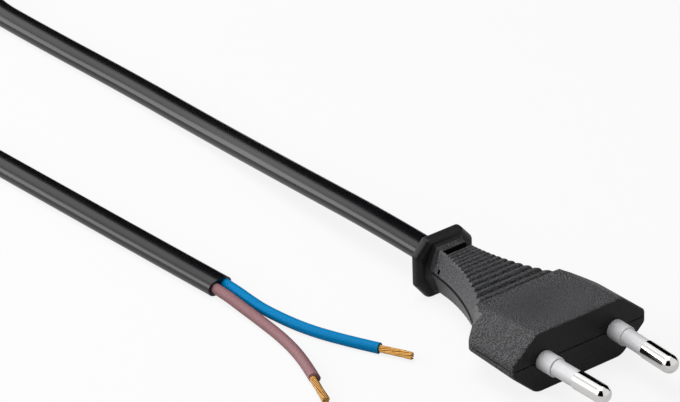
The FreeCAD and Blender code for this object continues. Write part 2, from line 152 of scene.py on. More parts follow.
# Pins, sleeves and the holder that carries them, in millimetres in front of the face
HANDS = (("left", -1), ("right", 1))
PIN_SPACING_AT_FACE = 18.6
PIN_SPACING_AT_TIP = 17.5
SHANK_RADIUS = 1.5
BARE_LENGTH = 9.0
SLEEVE_RADIUS = 1.83
SLEEVE_EDGE_RADIUS = 0.12
STUB_RADIUS = 2.18
STUB_LENGTH = 4.0
STUB_EDGE_RADIUS = 0.25
HOLDER_WIDTH = 26.0
HOLDER_HEIGHT = 6.4
HOLDER_DEPTH = 5.0
HOLDER_FROM_FRONT = 1.5
HOLDER_EDGE_RADIUS = 0.8
HOLDER_EDGE_STEPS = 3
FLANGE_RADIUS = 2.4
FLANGE_LENGTH = 1.5
CRIMP_RADIUS = 1.6
CRIMP_LENGTH = 4.0
BORE_RADIUS = 0.7
BORE_DEPTH = 3.5
TURNED_EDGE = 0.18
NOSE_STEPS = 12
TURN_STEPS = 72
MERGE_DISTANCE = 1e-5

# Lead, in millimetres: the route's points follow those of the construction. Against the stated section,
# the stretch from the plug is a little larger and the coil a little smaller, so that its turns stay clear
PLUG_RUN_SHARE = 1.05
COIL_SHARE = 0.967
LEAD_LOW_Z = 1.8
PLUG_RUN_Z = PLUG_RUN_SHARE * LEAD_LOW_Z
COIL_LAYER_PITCH = 3.5
COIL_CENTRE = (-20.5, 291.4)
COIL_OUTER_TURN = 38.1
COIL_INNER_TURN = 31.9
COIL_POINTS_PER_TURN = 24
COIL_TOTAL_TURNS = 4.5
COIL_LEAD_Y = 267.4
COIL_TOP_Z = LEAD_LOW_Z + 2 * COIL_LAYER_PITCH
# The turns between which the coil moves in, moves out again, and climbs to the next layer
COIL_MOVE_IN = (0.87, 0.98)
COIL_MOVE_OUT = (2.62, 2.73)
COIL_CLIMBS = ((1.74, 1.86), (3.5, 3.61))
PLUG_ROUTE = [
    (0.0, 19.7, MID_Z),
    (0.0, 48.0, MID_Z),
    (0.0, 80.5, 5.4),
    (1.15, 115.1, 2.7),
    (0.85, 147.2, PLUG_RUN_Z),
    (-1.25, 179.6, PLUG_RUN_Z),
    (-2.5, 209.7, PLUG_RUN_Z),
    (17.6, 243.4, PLUG_RUN_Z),
    (17.6, COIL_LEAD_Y, LEAD_LOW_Z),
]
END_ROUTE = [
    (-58.6, COIL_LEAD_Y, COIL_TOP_Z),
    (-58.6, 243.4, COIL_TOP_Z),
    (-47.4, 206.2, 3.0),
    (-45.6, 174.9, LEAD_LOW_Z),
    (-43.5, 143.5, LEAD_LOW_Z),
    (-41.2, 114.0, LEAD_LOW_Z),
    (-39.05, 86.4, LEAD_LOW_Z),
    (-36.85, 59.7, LEAD_LOW_Z),
]
BLUE_ROUTE = [
    (-35.4, 62.8, LEAD_LOW_Z),
    (-35.2, 56.4, LEAD_LOW_Z),
    (-35.1, 51.2, 1.45),
    (-34.8, 45.5, 1.25),
    (-32.9, 35.1, 1.2),
    (-29.1, 25.7, 1.2),
    (-25.9, 19.4, 1.2),
]
BROWN_ROUTE = [
    (-38.1, 62.6, LEAD_LOW_Z),
    (-37.9, 56.3, LEAD_LOW_Z),
    (-37.9, 50.9, 1.45),
    (-38.0, 45.0, 1.25),
    (-38.6, 35.1, 1.2),
    (-40.4, 25.9, 1.2),
    (-42.9, 18.9, 1.2),
]
# Cores: route, length of bare copper, how far the insulation is torn out, how far the copper lies aside
CORES = {
    "blue": (BLUE_ROUTE, 7.6, 0.1, 0.05),
    "brown": (BROWN_ROUTE, 9.2, 0.6, 0.35),
}
ROUTE_ORDER = 3
ROUTE_STEPS = 10
SHEATH_CROWN = math.radians(12)
SHEATH_STEPS = 12
SHEATH_WALL = 0.5
SHEATH_MOUTH_DEPTH = 2.5
SHEATH_MERGE_DISTANCE = 1e-4
CORE_ROUND_STEPS = 8
TEAR_RING = 0.05
TEAR_UNEVENNESS = 0.12
STRAND_DIAMETER = 0.34
STRAND_RINGS = ((0.0, 1), (0.31, 6), (0.63, 12))
STRAND_HIDDEN_LENGTH = 1.0
STRAND_POINTS = 7
STRAND_STEPS = 6
STRAND_ROUND_STEPS = 2
STRAND_TWIST = math.radians(100)
STRAND_REACH = (0.97, 1.0)
STRAND_DRIFT = (-0.15, 0.15)
STRAND_FRAY = (-0.05, 0.15)
STRAND_SEED = 11
TIE_WALL = 0.9
TIE_CORNER_RADIUS = 1.5
TIE_CORNER_STEPS = 5

# Camera, fitted to the photograph: what it looks at, and from where
CAMERA_TARGET = (-27.78, 28.56, 32.43)
CAMERA_AZIMUTH = math.radians(-36.30)
CAMERA_ELEVATION = math.radians(29.32)
CAMERA_ROLL = math.radians(-2.01)
CAMERA_DISTANCE = 800.0
CAMERA_LENS = 210.1
CAMERA_CLIP_START = 0.01
SENSOR_WIDTH = 36.0

# Floor and world: shares of white for each kind of ray
FLOOR_HALF_SIZE = 2.0
FLOOR_WHITE = 0.8
FLOOR_BOUNCE = 0.3
FLOOR_GLOW_SEEN = 0.85
FLOOR_GLOW_REFLECTED = 0.3
WORLD_SEEN = 1.0
WORLD_UNSEEN = 0.2
# Lights: size, watts, place, and the point that they are turned to, in metres
LIGHTS = {
    "overhead": ((0.6, 0.6), 3.5, (-0.12, 0.16, 0.75), (0.0, 0.03, 0.0)),
    "back_left": ((1.6, 0.8), 9.6, (-0.64, 1.36, 0.59), (0.0, 0.0, 0.01)),
    "back": ((0.74, 1.6), 1.0, (0.36, 1.56, 1.2), (0.0, 0.0, 0.01)),
    "left": ((0.4, 0.4), 1.5, (-0.55, 0.2, 0.3), (0.0, 0.0, 0.01)),
}
# Black cards that reflections see: first and last angle from +Y towards +X, and the angle of the top
CARD_DISTANCE = 6.0
CARDS = {"black_card_right": (29.0, 105.0, 55.0), "black_card_front": (-156.0, -95.0, 65.0)}


def linear(hex_colour):
    """Linear red, green and blue of an sRGB hex colour."""
    channels = [int(hex_colour[i:i + 2], 16) / 255 for i in (1, 3, 5)]
    return tuple(c / 12.92 if c <= 0.04045 else ((c + 0.055) / 1.055) ** 2.4 for c in channels)


def colour_property(label, hex_colour):
    """Colour that a user may change."""
    return FloatVectorProperty(name=label, description=label + " of the finish", subtype="COLOR", size=3,
                               min=0.0, max=1.0, default=linear(hex_colour))


def length_property(label, description, metres):
    """Length that a user may change."""
    return FloatProperty(name=label, description=description, unit="LENGTH", default=metres)


class PlugSizes(bpy.types.PropertyGroup):
    """Sizes of the plug."""
    body_width: length_property("Body width", "Width across the front face", BODY_HIGH.x - BODY_LOW.x)
    body_height: length_property("Body height", "Height of the front face", BODY_HIGH.z - BODY_LOW.z)
    pin_diameter: length_property("Pin diameter", "Diameter of the bare metal", 4.0 * MM)
    pin_length: length_property("Pin length", "Length of a pin in front of the face", 19.0 * MM)


class LeadSizes(bpy.types.PropertyGroup):
    """Sizes of the lead."""
    width: length_property("Lead width", "Width of the flat sheath", 6.35 * MM)
    thickness: length_property("Lead thickness", "Thickness of the flat sheath", 3.6 * MM)
    length: length_property("Lead length", "Real length of the lead", 1.5)
    core_diameter: length_property("Core diameter", "Diameter of an insulated core", 2.4 * MM)
    strand_seed: IntProperty(name="Strand seed", description="Changes how the bare strands fray",
                             default=STRAND_SEED)


class Finishes(bpy.types.PropertyGroup):
    """Colours of the finishes."""
    body: colour_property("Body PVC", "#363638")
    # Darker than the body PVC: painted shade on the front face, the collar, the relief slots and the neck
    # seam
    face: colour_property("Front face PVC", "#1e1e20")
    sheath: colour_property("Sheath PVC", "#0e0e10")
    blue: colour_property("Blue core PVC", "#0080bc")
    brown: colour_property("Brown core PVC", "#8f666a")
    pale: colour_property("Pale plastic", "#e6e6e8")
    nickel: colour_property("Nickel", "#d8d7d5")
    copper: colour_property("Copper", "#cc9a55")
    tie: colour_property("Tie plastic", "#1a1a1b")


# Materials

PVC_IOR = 1.53
SPECKLE_LIMITS = {"From Min": 0.4, "From Max": 0.6}
GLOSS_SPREAD = (0.85, 1.2)
RIPPLE_STRENGTH = 0.6


def add_node(tree, kind, settings=None, links=None, inputs=None):
    """Node of the given kind, with its settings, the sockets that feed it and its plain values."""
    node = tree.nodes.new(kind)
    for name, value in (settings or {}).items():
        setattr(node, name, value)
    for name, value in (inputs or {}).items():
        node.inputs[name].default_value = value
    for name, socket in (links or {}).items():
        tree.links.new(socket, node.inputs[name])
    return node


def plain_material(name, inputs):
    """Material with one principled shader, and that shader."""
    material = bpy.data.materials.new(name)
    material.use_nodes = True
    shader = material.node_tree.nodes["Principled BSDF"]
    for socket, value in inputs.items():
        shader.inputs[socket].default_value = value
    return material, shader


def new_material(name, inputs):
    """Material with one principled shader, and the tree, shader and object coordinates to add to."""
    material, shader = plain_material(name, inputs)
    tree = material.node_tree
    return material, tree, shader, add_node(tree, "ShaderNodeTexCoord").outputs["Object"]


def opaque(colour, share=1.0):
    """A share of a colour, with full alpha."""
    return (*[share * c for c in colour], 1.0)


def grey(level):
    """Grey of the given level, with full alpha."""
    return (level, level, level, 1.0)


def noise(tree, place, cell_mm, detail):
    """Noise value with cells of the given real size."""
    inputs = {"Scale": 1.0 / (cell_mm * MM), "Detail": detail}
    return add_node(tree, "ShaderNodeTexNoise", None, {"Vector": place}, inputs).outputs["Fac"]


def map_range(tree, value, inputs, settings=None):
    """Value moved from one range to another."""
    return add_node(tree, "ShaderNodeMapRange", settings, {"Value": value}, inputs).outputs["Result"]


def tint(tree, shader, share, low, high):
    """Let a share between 0 and 1 take the base colour from low to high."""
    shade = add_node(tree, "ShaderNodeMix", {"data_type": "RGBA"}, {0: share}, {6: low, 7: high})
    tree.links.new(shade.outputs[2], shader.inputs["Base Color"])


def vary_gloss(tree, shader, value, low, high):
    """Let a value between 0 and 1 take the roughness from low to high."""
    gloss = map_range(tree, value, {"To Min": low, "To Max": high})
    tree.links.new(gloss, shader.inputs["Roughness"])


def bump(tree, shader, links, inputs):
    """Raise the surface as the linked height says."""
    raised = add_node(tree, "ShaderNodeBump", None, links, inputs)
    tree.links.new(raised.outputs["Normal"], shader.inputs["Normal"])


def grain_left(tree, place):
    """Share of the grain that handling has left, less in the rest for a finger than around it."""
    middle = (0.0, (FRONT_Y + DISH_FROM_FRONT) * MM, BODY_HEIGHT * MM)
    reach = add_node(tree, "ShaderNodeVectorMath", {"operation": "DISTANCE"}, {0: place}, {1: middle})
    limits = {"From Min": WORN_FROM * MM, "From Max": WORN_TO * MM, "To Min": WORN_GRAIN_LEFT, "To Max": 1.0}
    return map_range(tree, reach.outputs["Value"], limits, {"interpolation_type": "SMOOTHSTEP"})


def moulded_pvc(name, colour, grain_mm, height_mm, roughness, specular, contrast):
    """Moulded black PVC: a spark-eroded mould leaves a fine even grain that speckles the light."""
    inputs = {"Roughness": roughness, "IOR": PVC_IOR, "Specular IOR Level": specular}
    material, tree, shader, place = new_material(name, inputs)
    grain = noise(tree, place, grain_mm, 1.0)
    speckle = map_range(tree, grain, SPECKLE_LIMITS)
    left = grain_left(tree, place)
    worn = add_node(tree, "ShaderNodeMix", links={0: left, 3: speckle}, inputs={2: 0.5}).outputs[0]
    tint(tree, shader, worn, opaque(colour, 1 - contrast), opaque(colour, 1 + contrast))
    bump(tree, shader, {"Strength": left, "Height": grain}, {"Distance": height_mm * MM})
    return material


def extruded_pvc(name, colour, roughness, specular, ripple_mm, height_mm):
    """Extruded PVC: a satin skin with long shallow ripples and a slightly uneven gloss."""
    inputs = {"Base Color": opaque(colour), "Roughness": roughness, "IOR": PVC_IOR,
              "Specular IOR Level": specular}
    material, tree, shader, place = new_material(name, inputs)
    ripple = noise(tree, place, ripple_mm, 2.0)
    vary_gloss(tree, shader, ripple, *[share * roughness for share in GLOSS_SPREAD])
    bump(tree, shader, {"Height": ripple}, {"Strength": RIPPLE_STRENGTH, "Distance": height_mm * MM})
    return material


def clouded(name, colour, metallic, roughness, ior, cloud_mm, detail, dark_share):
    """Smooth finish whose colour goes in soft patches from a darker share of it to the whole."""
    inputs = {"Metallic": metallic, "Roughness": roughness, "IOR": ior}
    material, tree, shader, place = new_material(name, inputs)
    tint(tree, shader, noise(tree, place, cloud_mm, detail), opaque(colour, dark_share), opaque(colour))
    return material


def plated(name, colour, roughness, worn_roughness, wear_mm):
    """Polished plate on turned metal: a mirror with faint patches of wear."""
    inputs = {"Base Color": opaque(colour), "Metallic": 1.0, "Roughness": roughness}
    material, tree, shader, place = new_material(name, inputs)
    vary_gloss(tree, shader, noise(tree, place, wear_mm, 1.0), roughness, worn_roughness)
    return material


# Each finish: what makes it, its colour among the properties, and its values
FINISHES = {
    "moulded_pvc_grained": (moulded_pvc, "body", dict(
        grain_mm=0.36, height_mm=0.42, roughness=0.5, specular=0.3, contrast=0.9)),
    # Smoother and less grained than the rest of the body, as from polished parts of the mould; its darker
    # colour is painted shade
    "moulded_pvc_smooth": (moulded_pvc, "face", dict(
        grain_mm=0.5, height_mm=0.03, roughness=0.35, specular=0.15, contrast=0.15)),
    "moulded_pvc_fine": (moulded_pvc, "body", dict(
        grain_mm=0.36, height_mm=0.2, roughness=0.45, specular=0.6, contrast=0.5)),
    "sheath_pvc": (extruded_pvc, "sheath", dict(
        roughness=0.18, specular=0.5, ripple_mm=9.0, height_mm=0.03)),
    "blue_core_pvc": (extruded_pvc, "blue", dict(
        roughness=0.36, specular=0.06, ripple_mm=1.6, height_mm=0.03)),
    "brown_core_pvc": (extruded_pvc, "brown", dict(
        roughness=0.55, specular=0.3, ripple_mm=0.5, height_mm=0.05)),
    "tie_polyamide": (extruded_pvc, "tie", dict(
        roughness=0.45, specular=0.5, ripple_mm=1.2, height_mm=0.02)),
    "pale_polyamide": (clouded, "pale", dict(
        metallic=0.0, roughness=0.38, ior=1.52, cloud_mm=1.5, detail=2.0, dark_share=0.94)),
    "bare_copper": (clouded, "copper", dict(
        metallic=1.0, roughness=0.25, ior=1.5, cloud_mm=0.9, detail=3.0, dark_share=0.4)),
    "plated_nickel": (plated, "nickel", dict(roughness=0.07, worn_roughness=0.13, wear_mm=4.0)),
}


def finish_of(name):
    """Material by its plain name, made the first time that a piece asks for it."""
    found = bpy.data.materials.get(name)
    if found:
        return found
    maker, colour, values = FINISHES[name]
    return maker(name, getattr(bpy.context.scene.plug_finishes, colour), **values)


# Meshes

def mesh_from(bm, name):
    """Mesh of a finished bmesh."""
    mesh = bpy.data.meshes.new(name)
    bm.to_mesh(mesh)
    bm.free()
    return mesh


def linked(name, data):
    """New object of the scene."""
    item = bpy.data.objects.new(name, data)
    bpy.context.scene.collection.objects.link(item)
    return item


def evaluated_mesh(item):
    """Mesh of an object with its modifiers or its bevel."""
    bpy.context.view_layer.update()
    return bpy.data.meshes.new_from_object(item.evaluated_get(bpy.context.evaluated_depsgraph_get()))


def dressed(name, mesh, finishes, replaced):
    """Piece of a mesh, with its finishes, that rides on the part and stands for the named solids."""
    piece = linked(name, mesh)
    for finish in finishes:
        mesh.materials.append(finish_of(finish))
    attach(piece, "root")
    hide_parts(*replaced)
    return piece


def smooth_but_sharp(piece):
    """Smooth shading that keeps the real edges, with the flat faces flat."""
    piece.data.shade_smooth()
    piece.data.set_sharp_from_angle(angle=SHARP_ANGLE)
    normals = piece.modifiers.new("flat faces", "WEIGHTED_NORMAL")
    normals.keep_sharp = True


# Moulded body

def rounded_points(corners):
    """Points of a closed outline whose corners, each (x, z, radius), are rounded."""
    arcs = []
    count = len(corners)
    for index, (x, z, radius) in enumerate(corners):
        corner = Vector((x, z))
        back = Vector(corners[index - 1][:2]) - corner
        ahead = Vector(corners[(index + 1) % count][:2]) - corner
        half_turn = (math.pi - back.angle(ahead)) / 2
        limit = ARC_LIMIT_SHARE * min(back.length, ahead.length)
        reach = min(radius * math.tan(half_turn), limit)
        first = corner + back.normalized() * reach
        last = corner + ahead.normalized() * reach
        arcs.append((first, corner, last))
    points = []
    for index, (first, corner, last) in enumerate(arcs):
        for step in range(ARC_STEPS):
            share = step / (ARC_STEPS - 1)
            points.append((1 - share) ** 2 * first + 2 * share * (1 - share) * corner + share ** 2 * last)
        following = arcs[(index + 1) % count][0]
        points += [last.lerp(following, step / FLAT_STEPS) for step in range(1, FLAT_STEPS)]
    return points


def eight_sided(half_width, half_side, half_top, rise, top_radius, side_radius, lower_step=0.0):
    """Corners of an eight-sided outline, from the heights above the seam.

    The lower half may stand out a little.
    """
    upper = [
        (half_width, half_side, side_radius), (half_top, rise, top_radius),
        (-half_top, rise, top_radius), (-half_width, half_side, side_radius),
    ]
    deeper = SEAM_SHARE / UPPER_SHARE
    lower = [(-x - math.copysign(lower_step, x), -z * deeper, radius) for x, z, radius in upper]
    return upper + lower


def block_half_width():
    """Half width of the front block."""
    return bpy.context.scene.plug_sizes.body_width / MM / 2


def block_rise(distance):
    """Height of the block's top above the seam; the block gets thinner to the back."""
    front = bpy.context.scene.plug_sizes.body_height / MM
    return UPPER_SHARE * (front + (BLOCK_BACK_HEIGHT - front) * distance / BLOCK_LENGTH)


def shoulder_half_width(distance):
    """Half width of the block in plan: straight sides, a round corner, then the slanting shoulder."""
    half = block_half_width()
    slant = math.atan2(half - BLOCK_BACK_WIDTH / 2, BLOCK_LENGTH - BLOCK_SIDE_LENGTH)
    round_start = BLOCK_SIDE_LENGTH - SHOULDER_RADIUS * math.tan(slant / 2)
    into = distance - round_start
    if into <= 0:
        return half
    if into < SHOULDER_RADIUS * math.sin(slant):
        return half - SHOULDER_RADIUS + math.sqrt(SHOULDER_RADIUS ** 2 - into ** 2)
    return BLOCK_BACK_WIDTH / 2 + (BLOCK_LENGTH - distance) * math.tan(slant)


def neck_half_width(distance):
    """Half width of the neck at its seam: a hollow curve through root, waist and end."""
    places = (NECK_ROOT_FROM_FRONT, NECK_WAIST_FROM_FRONT, COLLAR_FROM_FRONT)
    widths = (NECK_ROOT_WIDTH, NECK_WAIST_WIDTH, NECK_END_WIDTH)
    total = 0.0
    for i, width in enumerate(widths):
        weight = 1.0
        for j, place in enumerate(places):
            if j != i:
                weight *= (distance - place) / (places[i] - place)
        total += weight * width / 2
    return total


def neck_rise(distance):
    """Height of the neck's ribs above the seam."""
    share = (distance - BLOCK_LENGTH) / (COLLAR_FROM_FRONT - BLOCK_LENGTH)
    return UPPER_SHARE * (NECK_ROOT_HEIGHT + share * (NECK_END_HEIGHT - NECK_ROOT_HEIGHT))


def neck_corners(distance, depth):
    """Outline of the neck, cut down by the given depth below the tops of its ribs."""
    rise = neck_rise(distance) - depth
    half_width = neck_half_width(distance)
    half_top = half_width - NECK_DRAFT * rise / (UPPER_SHARE * NECK_END_HEIGHT)
    return eight_sided(half_width, NECK_SIDE_FLAT / 2, half_top, rise, NECK_EDGE_RADIUS, NECK_SIDE_RADIUS,
                       NECK_STEP)


def block_corners(distance, inset, lowered=0.0):
    """Outline of the block, drawn in at the front edge and lowered at the rounded back edge."""
    height = block_rise(distance)
    half_width = block_half_width()
    half_side = UPPER_SHARE * SIDE_FLAT * height / block_rise(0.0)
    half_top = TOP_FLAT / 2
    wall = shoulder_half_width(distance)
    if wall < half_width:
        cut = min((half_width - wall) / (half_width - half_top), 1.0)
        half_side += cut * (height - half_side)
        half_width = wall
    if distance > NECK_ROOT_FROM_FRONT:
        half_width = max(half_width, neck_half_width(distance))
    half_side = min(half_side, height - lowered - 2 * NECK_EDGE_RADIUS)
    half_top = min(half_top, half_width - NECK_EDGE_RADIUS)
    run = half_width - half_top
    climb = height - half_side
    slope = math.hypot(run, climb)
    half_side -= inset * (slope - climb) / run
    half_top -= inset * (slope - run) / climb
    return eight_sided(half_width - inset, half_side, half_top, height - inset - lowered,
                       TOP_CORNER_RADIUS, SIDE_CORNER_RADIUS)


def collar_corners(inset):
    """Outline of the collar, drawn in at its back edge."""
    half_side = UPPER_SHARE * COLLAR_SIDE_FLAT - inset * COLLAR_INSET_SHARE
    half_top = COLLAR_TOP_FLAT / 2 - inset * COLLAR_INSET_SHARE
    return eight_sided(COLLAR_WIDTH / 2 - inset, half_side, half_top, block_rise(0.0) - inset,
                       COLLAR_EDGE_RADIUS, COLLAR_EDGE_RADIUS)


def flare(ahead, length):
    """Share of the way from neck to rim at a distance ahead of the collar: a hollow quarter circle."""
    reach = max(0.0, 1 - ahead / length)
    return FLARE_SHARE * (1 - math.sqrt(1 - reach ** 2))


def between(first, second, side_share, top_share):
    """Outline part of the way from one eight-sided outline to another, at its sides and at its top."""
    shares = (side_share, top_share, top_share, side_share) * 2
    return [tuple(a + (b - a) * share for a, b in zip(start, end))
            for start, end, share in zip(first, second, shares)]


def lead_hole_corners():
    """Outline of the hole that the lead leaves by."""
    lead = bpy.context.scene.lead_sizes
    half_width = PLUG_RUN_SHARE * lead.width / MM / 2
    rise = PLUG_RUN_SHARE * lead.thickness / MM / 2
    return eight_sided(half_width, LEAD_HOLE_SIDE_SHARE * rise, half_width - rise, rise,
                       LEAD_HOLE_RADIUS, LEAD_HOLE_RADIUS)


def round_edge(radius, steps):
    """Pairs of (advance, inset) from the start of a rounded edge to its end."""
    pairs = []
    for step in range(steps + 1):
        angle = math.pi / 2 * step / steps
        pairs.append((radius * (1 - math.cos(angle)), radius * (1 - math.sin(angle))))
    return pairs


def block_stations():
    """Outlines of the block from the front face to its back edge."""
    stations = []
    for advance, inset in round_edge(FRONT_EDGE_RADIUS, ARC_STEPS):
        stations.append((advance, block_corners(advance, inset)))
    straight = BLOCK_SIDE_LENGTH - SHOULDER_RADIUS
    stations += [(float(d), block_corners(d, 0.0)) for d in range(1, math.ceil(straight))]
    back = BLOCK_LENGTH - BLOCK_BACK_RADIUS
    for step in range(1, SHOULDER_STEPS + 1):
        distance = straight + (back - straight) * step / SHOULDER_STEPS
        stations.append((distance, block_corners(distance, 0.0)))
    for advance, inset in reversed(round_edge(BLOCK_BACK_RADIUS, EDGE_STEPS)[:-1]):
        distance = BLOCK_LENGTH - advance
        stations.append((distance, block_corners(distance, 0.0, inset)))
    return stations


def rib_drop(share):
    """Share of a rib's depth that its surface lies below the crest: steep in front, gentle behind."""
    if share < RIB_CREST:
        return (1 - share / RIB_CREST) ** 2
    return ((share - RIB_CREST) / (1 - RIB_CREST)) ** RIB_BACK_POWER


def neck_stations():
    """Outlines of the neck, rib by rib, and of its plain end."""
    span = COLLAR_FROM_FRONT - RIBS_END_FROM_COLLAR - BLOCK_LENGTH
    pitch = span * (1 - RIB_SHRINK) / (1 - RIB_SHRINK ** RIB_COUNT)
    start = BLOCK_LENGTH
    stations = []
    for rib in range(RIB_COUNT):
        along = rib / (RIB_COUNT - 1)
        depth = pitch * (RIB_DEPTH_SHARE + along * (RIB_END_DEPTH_SHARE - RIB_DEPTH_SHARE))
        for step in range(1, RIB_STEPS):
            share = step / RIB_STEPS
            distance = start + share * pitch
            stations.append((distance, neck_corners(distance, depth * rib_drop(share))))
        start += pitch
        stations.append((start, neck_corners(start, depth)))
        pitch *= RIB_SHRINK
    plain = start + LAST_RIB_STEP
    stations.append((plain, neck_corners(plain, 0.0)))
    return stations


def collar_stations():
    """Outlines of the flare into the collar, the collar and the hole for the lead."""
    neck = neck_corners(COLLAR_FROM_FRONT, 0.0)
    rim = collar_corners(0.0)
    stations = []
    for step in range(FLARE_STEPS + 1):
        ahead = FLARE_SIDE_LENGTH * (1 - step / FLARE_STEPS) ** 2
        outline = neck_corners(COLLAR_FROM_FRONT - ahead, 0.0)
        grown = between(outline, rim, flare(ahead, FLARE_SIDE_LENGTH), flare(ahead, FLARE_TOP_LENGTH))
        stations.append((COLLAR_FROM_FRONT - ahead, grown))
    for step in range(1, COLLAR_STEPS + 1):
        angle = math.pi / 2 * step / COLLAR_STEPS
        share = FLARE_SHARE + (1 - FLARE_SHARE) * math.sin(angle)
        distance = COLLAR_FROM_FRONT + COLLAR_FRONT_RADIUS * (1 - math.cos(angle))
        stations.append((distance, between(neck, rim, share, share)))
    for advance, inset in reversed(round_edge(COLLAR_BACK_RADIUS, COLLAR_STEPS)):
        stations.append((BODY_LENGTH - advance, collar_corners(inset)))
    hole = lead_hole_corners()
    return stations + [(BODY_LENGTH, hole), (BODY_LENGTH - LEAD_HOLE_DEPTH, hole)]


def ring_of_edges(bm, corners, distance):
    """Closed ring of edges of a rounded outline, at a distance behind the front face."""
    points = rounded_points(corners)
    ring = bmesh.ops.create_circle(bm, segments=len(points), radius=1.0)["verts"]
    for vert, point in zip(ring, points):
        vert.co = (point.x, FRONT_Y + distance, MID_Z + point.y)
    return list({edge for vert in ring for edge in vert.link_edges})


def box_at(bm, size, middle):
    """Box of the given size about its middle."""
    place = Matrix.LocRotScale(Vector(middle), None, Vector(size))
    bmesh.ops.create_cube(bm, size=1.0, matrix=place)


def to_metres(bm):
    """Turn a mesh in millimetres into one in metres."""
    bmesh.ops.scale(bm, verts=bm.verts, vec=(MM, MM, MM))


def cut_away(piece, cutter_mesh):
    """Take a cutter's shape out of a piece for good."""
    cutter = linked("cutter", cutter_mesh)
    cut = piece.modifiers.new("cut", "BOOLEAN")
    cut.operation = "DIFFERENCE"
    cut.solver = "EXACT"
    cut.object = cutter
    result = evaluated_mesh(piece)
    piece.modifiers.remove(cut)
    bpy.data.objects.remove(cutter)
    piece.data = result


def body_cutter():
    """Seam across the face and along the block's sides, and the relief slots in front of the collar."""
    bm = bmesh.new()
    width = bpy.context.scene.plug_sizes.body_width / MM
    box_at(bm, (width - 2 * SEAM_END_MARGIN, 2 * SEAM_DEPTH, SEAM_WIDTH), (0, FRONT_Y, MID_Z))
    straight = BLOCK_SIDE_LENGTH - SHOULDER_RADIUS - FRONT_EDGE_RADIUS
    y = FRONT_Y + SLOT_FROM_FRONT
    for side in (1, -1):
        top = MID_Z + side * neck_rise(SLOT_FROM_FRONT)
        box_at(bm, (SLOT_WIDTH, SLOT_LENGTH, 2 * SLOT_DEPTH), (0, y, top))
        hollow = (side * neck_half_width(SLOT_FROM_FRONT), y, MID_Z + SIDE_SLOT_RISE)
        box_at(bm, (2 * SIDE_SLOT_DEPTH, SIDE_SLOT_LENGTH, SIDE_SLOT_HEIGHT), hollow)
        middle = (side * width / 2, FRONT_Y + FRONT_EDGE_RADIUS + straight / 2, MID_Z)
        box_at(bm, (2 * SEAM_DEPTH, straight, SEAM_WIDTH), middle)
    to_metres(bm)
    return mesh_from(bm, "cutter")


def press_dish(bm):
    """Press a shallow rest for a finger into the top of the block."""
    for vert in bm.verts:
        distance = vert.co.y - FRONT_Y
        along = (distance - DISH_FROM_FRONT) / DISH_REACH[1]
        across = vert.co.x / DISH_REACH[0]
        on_top = vert.co.z - MID_Z > DISH_RISE_SHARE * block_rise(distance)
        if on_top and abs(along) < 1 and abs(across) < 1:
            vert.co.z -= DISH_DEPTH * (1 - along ** 2) ** 2 * (1 - across ** 2) ** 2


def press_seam(bm):
    """Press the line where the two halves of the mould met into the sides of the neck."""
    neck_end = COLLAR_FROM_FRONT - FLARE_SIDE_LENGTH / 2
    for vert in bm.verts:
        on_neck = BLOCK_LENGTH < vert.co.y - FRONT_Y < neck_end
        if on_neck and abs(vert.co.z - MID_Z) < NECK_SEAM_SHARE * NECK_SIDE_FLAT:
            vert.co.x -= math.copysign(NECK_SEAM_DEPTH, vert.co.x)


def in_neck_seam(place):
    """True in the line where the two halves of the mould met, on the sides of the neck."""
    distance = place.y / MM - FRONT_Y
    return distance > BLOCK_LENGTH and abs(place.z / MM - MID_Z) < NECK_SIDE_FLAT / 2


def in_slot(place):
    """True inside the relief slots in the top and bottom of the neck, below their edges."""
    distance = place.y / MM - FRONT_Y
    deep = abs(place.z / MM - MID_Z) < neck_rise(distance) - SLOT_EDGE
    along = abs(distance - SLOT_FROM_FRONT) < SLOT_LENGTH / 2 + SLOT_EDGE
    return deep and along and abs(place.x) < SLOT_WIDTH / 2 * MM


def body_finish(polygon):
    """Which of the body's finishes one of its faces has; the darker smooth finish is painted shade on the
    front face, the collar and its flare, the relief slots and the neck seam.
    """
    place = polygon.center
    sideways = abs(polygon.normal.x) > FACES_SIDEWAYS
    on_face = polygon.normal.y < -FACES_ALONG and place.y < (FRONT_Y + 2 * SEAM_DEPTH) * MM
    flare_length = FLARE_SIDE_LENGTH if sideways else FLARE_TOP_LENGTH
    on_collar = place.y > (FRONT_Y + COLLAR_FROM_FRONT - FLARE_PAINTED_SHADE_SHARE * flare_length) * MM
    # Painted shade: the front face, the collar, the slots and the neck seam take the darker smooth finish
    if on_face or on_collar or in_slot(place) or in_neck_seam(place):
        return SMOOTH_PAINTED_SHADE
    behind_shoulder = place.y > (FRONT_Y + BLOCK_SIDE_LENGTH + SHOULDER_RADIUS) * MM
    return FINE if sideways and polygon.normal.y > 0 and behind_shoulder else GRAINED


class PLUG_OT_body(bpy.types.Operator):
    """Loft the moulded body through its outlines, from the face to the collar"""
    bl_idname = "plug.body"
    bl_label = "Moulded body"

    def execute(self, context):
        bm = bmesh.new()
        stations = block_stations() + neck_stations() + collar_stations()
        rings = [ring_of_edges(bm, corners, distance) for distance, corners in stations]
        for ring, following in zip(rings, rings[1:]):
            bmesh.ops.bridge_loops(bm, edges=ring + following)
        for ring in (rings[0], rings[-1]):
            bmesh.ops.edgeloop_fill(bm, edges=ring)
        press_dish(bm)
        press_seam(bm)
        bmesh.ops.recalc_face_normals(bm, faces=bm.faces)
        to_metres(bm)
        finishes = ["moulded_pvc_grained", "moulded_pvc_smooth", "moulded_pvc_fine"]
        body = dressed("moulded_body", mesh_from(bm, "moulded_body"), finishes, ["plug_body"])
        cut_away(body, body_cutter())
        for polygon in body.data.polygons:
            polygon.material_index = body_finish(polygon)
        smooth_but_sharp(body)
        return {"FINISHED"}


# Pins, sleeves and holder

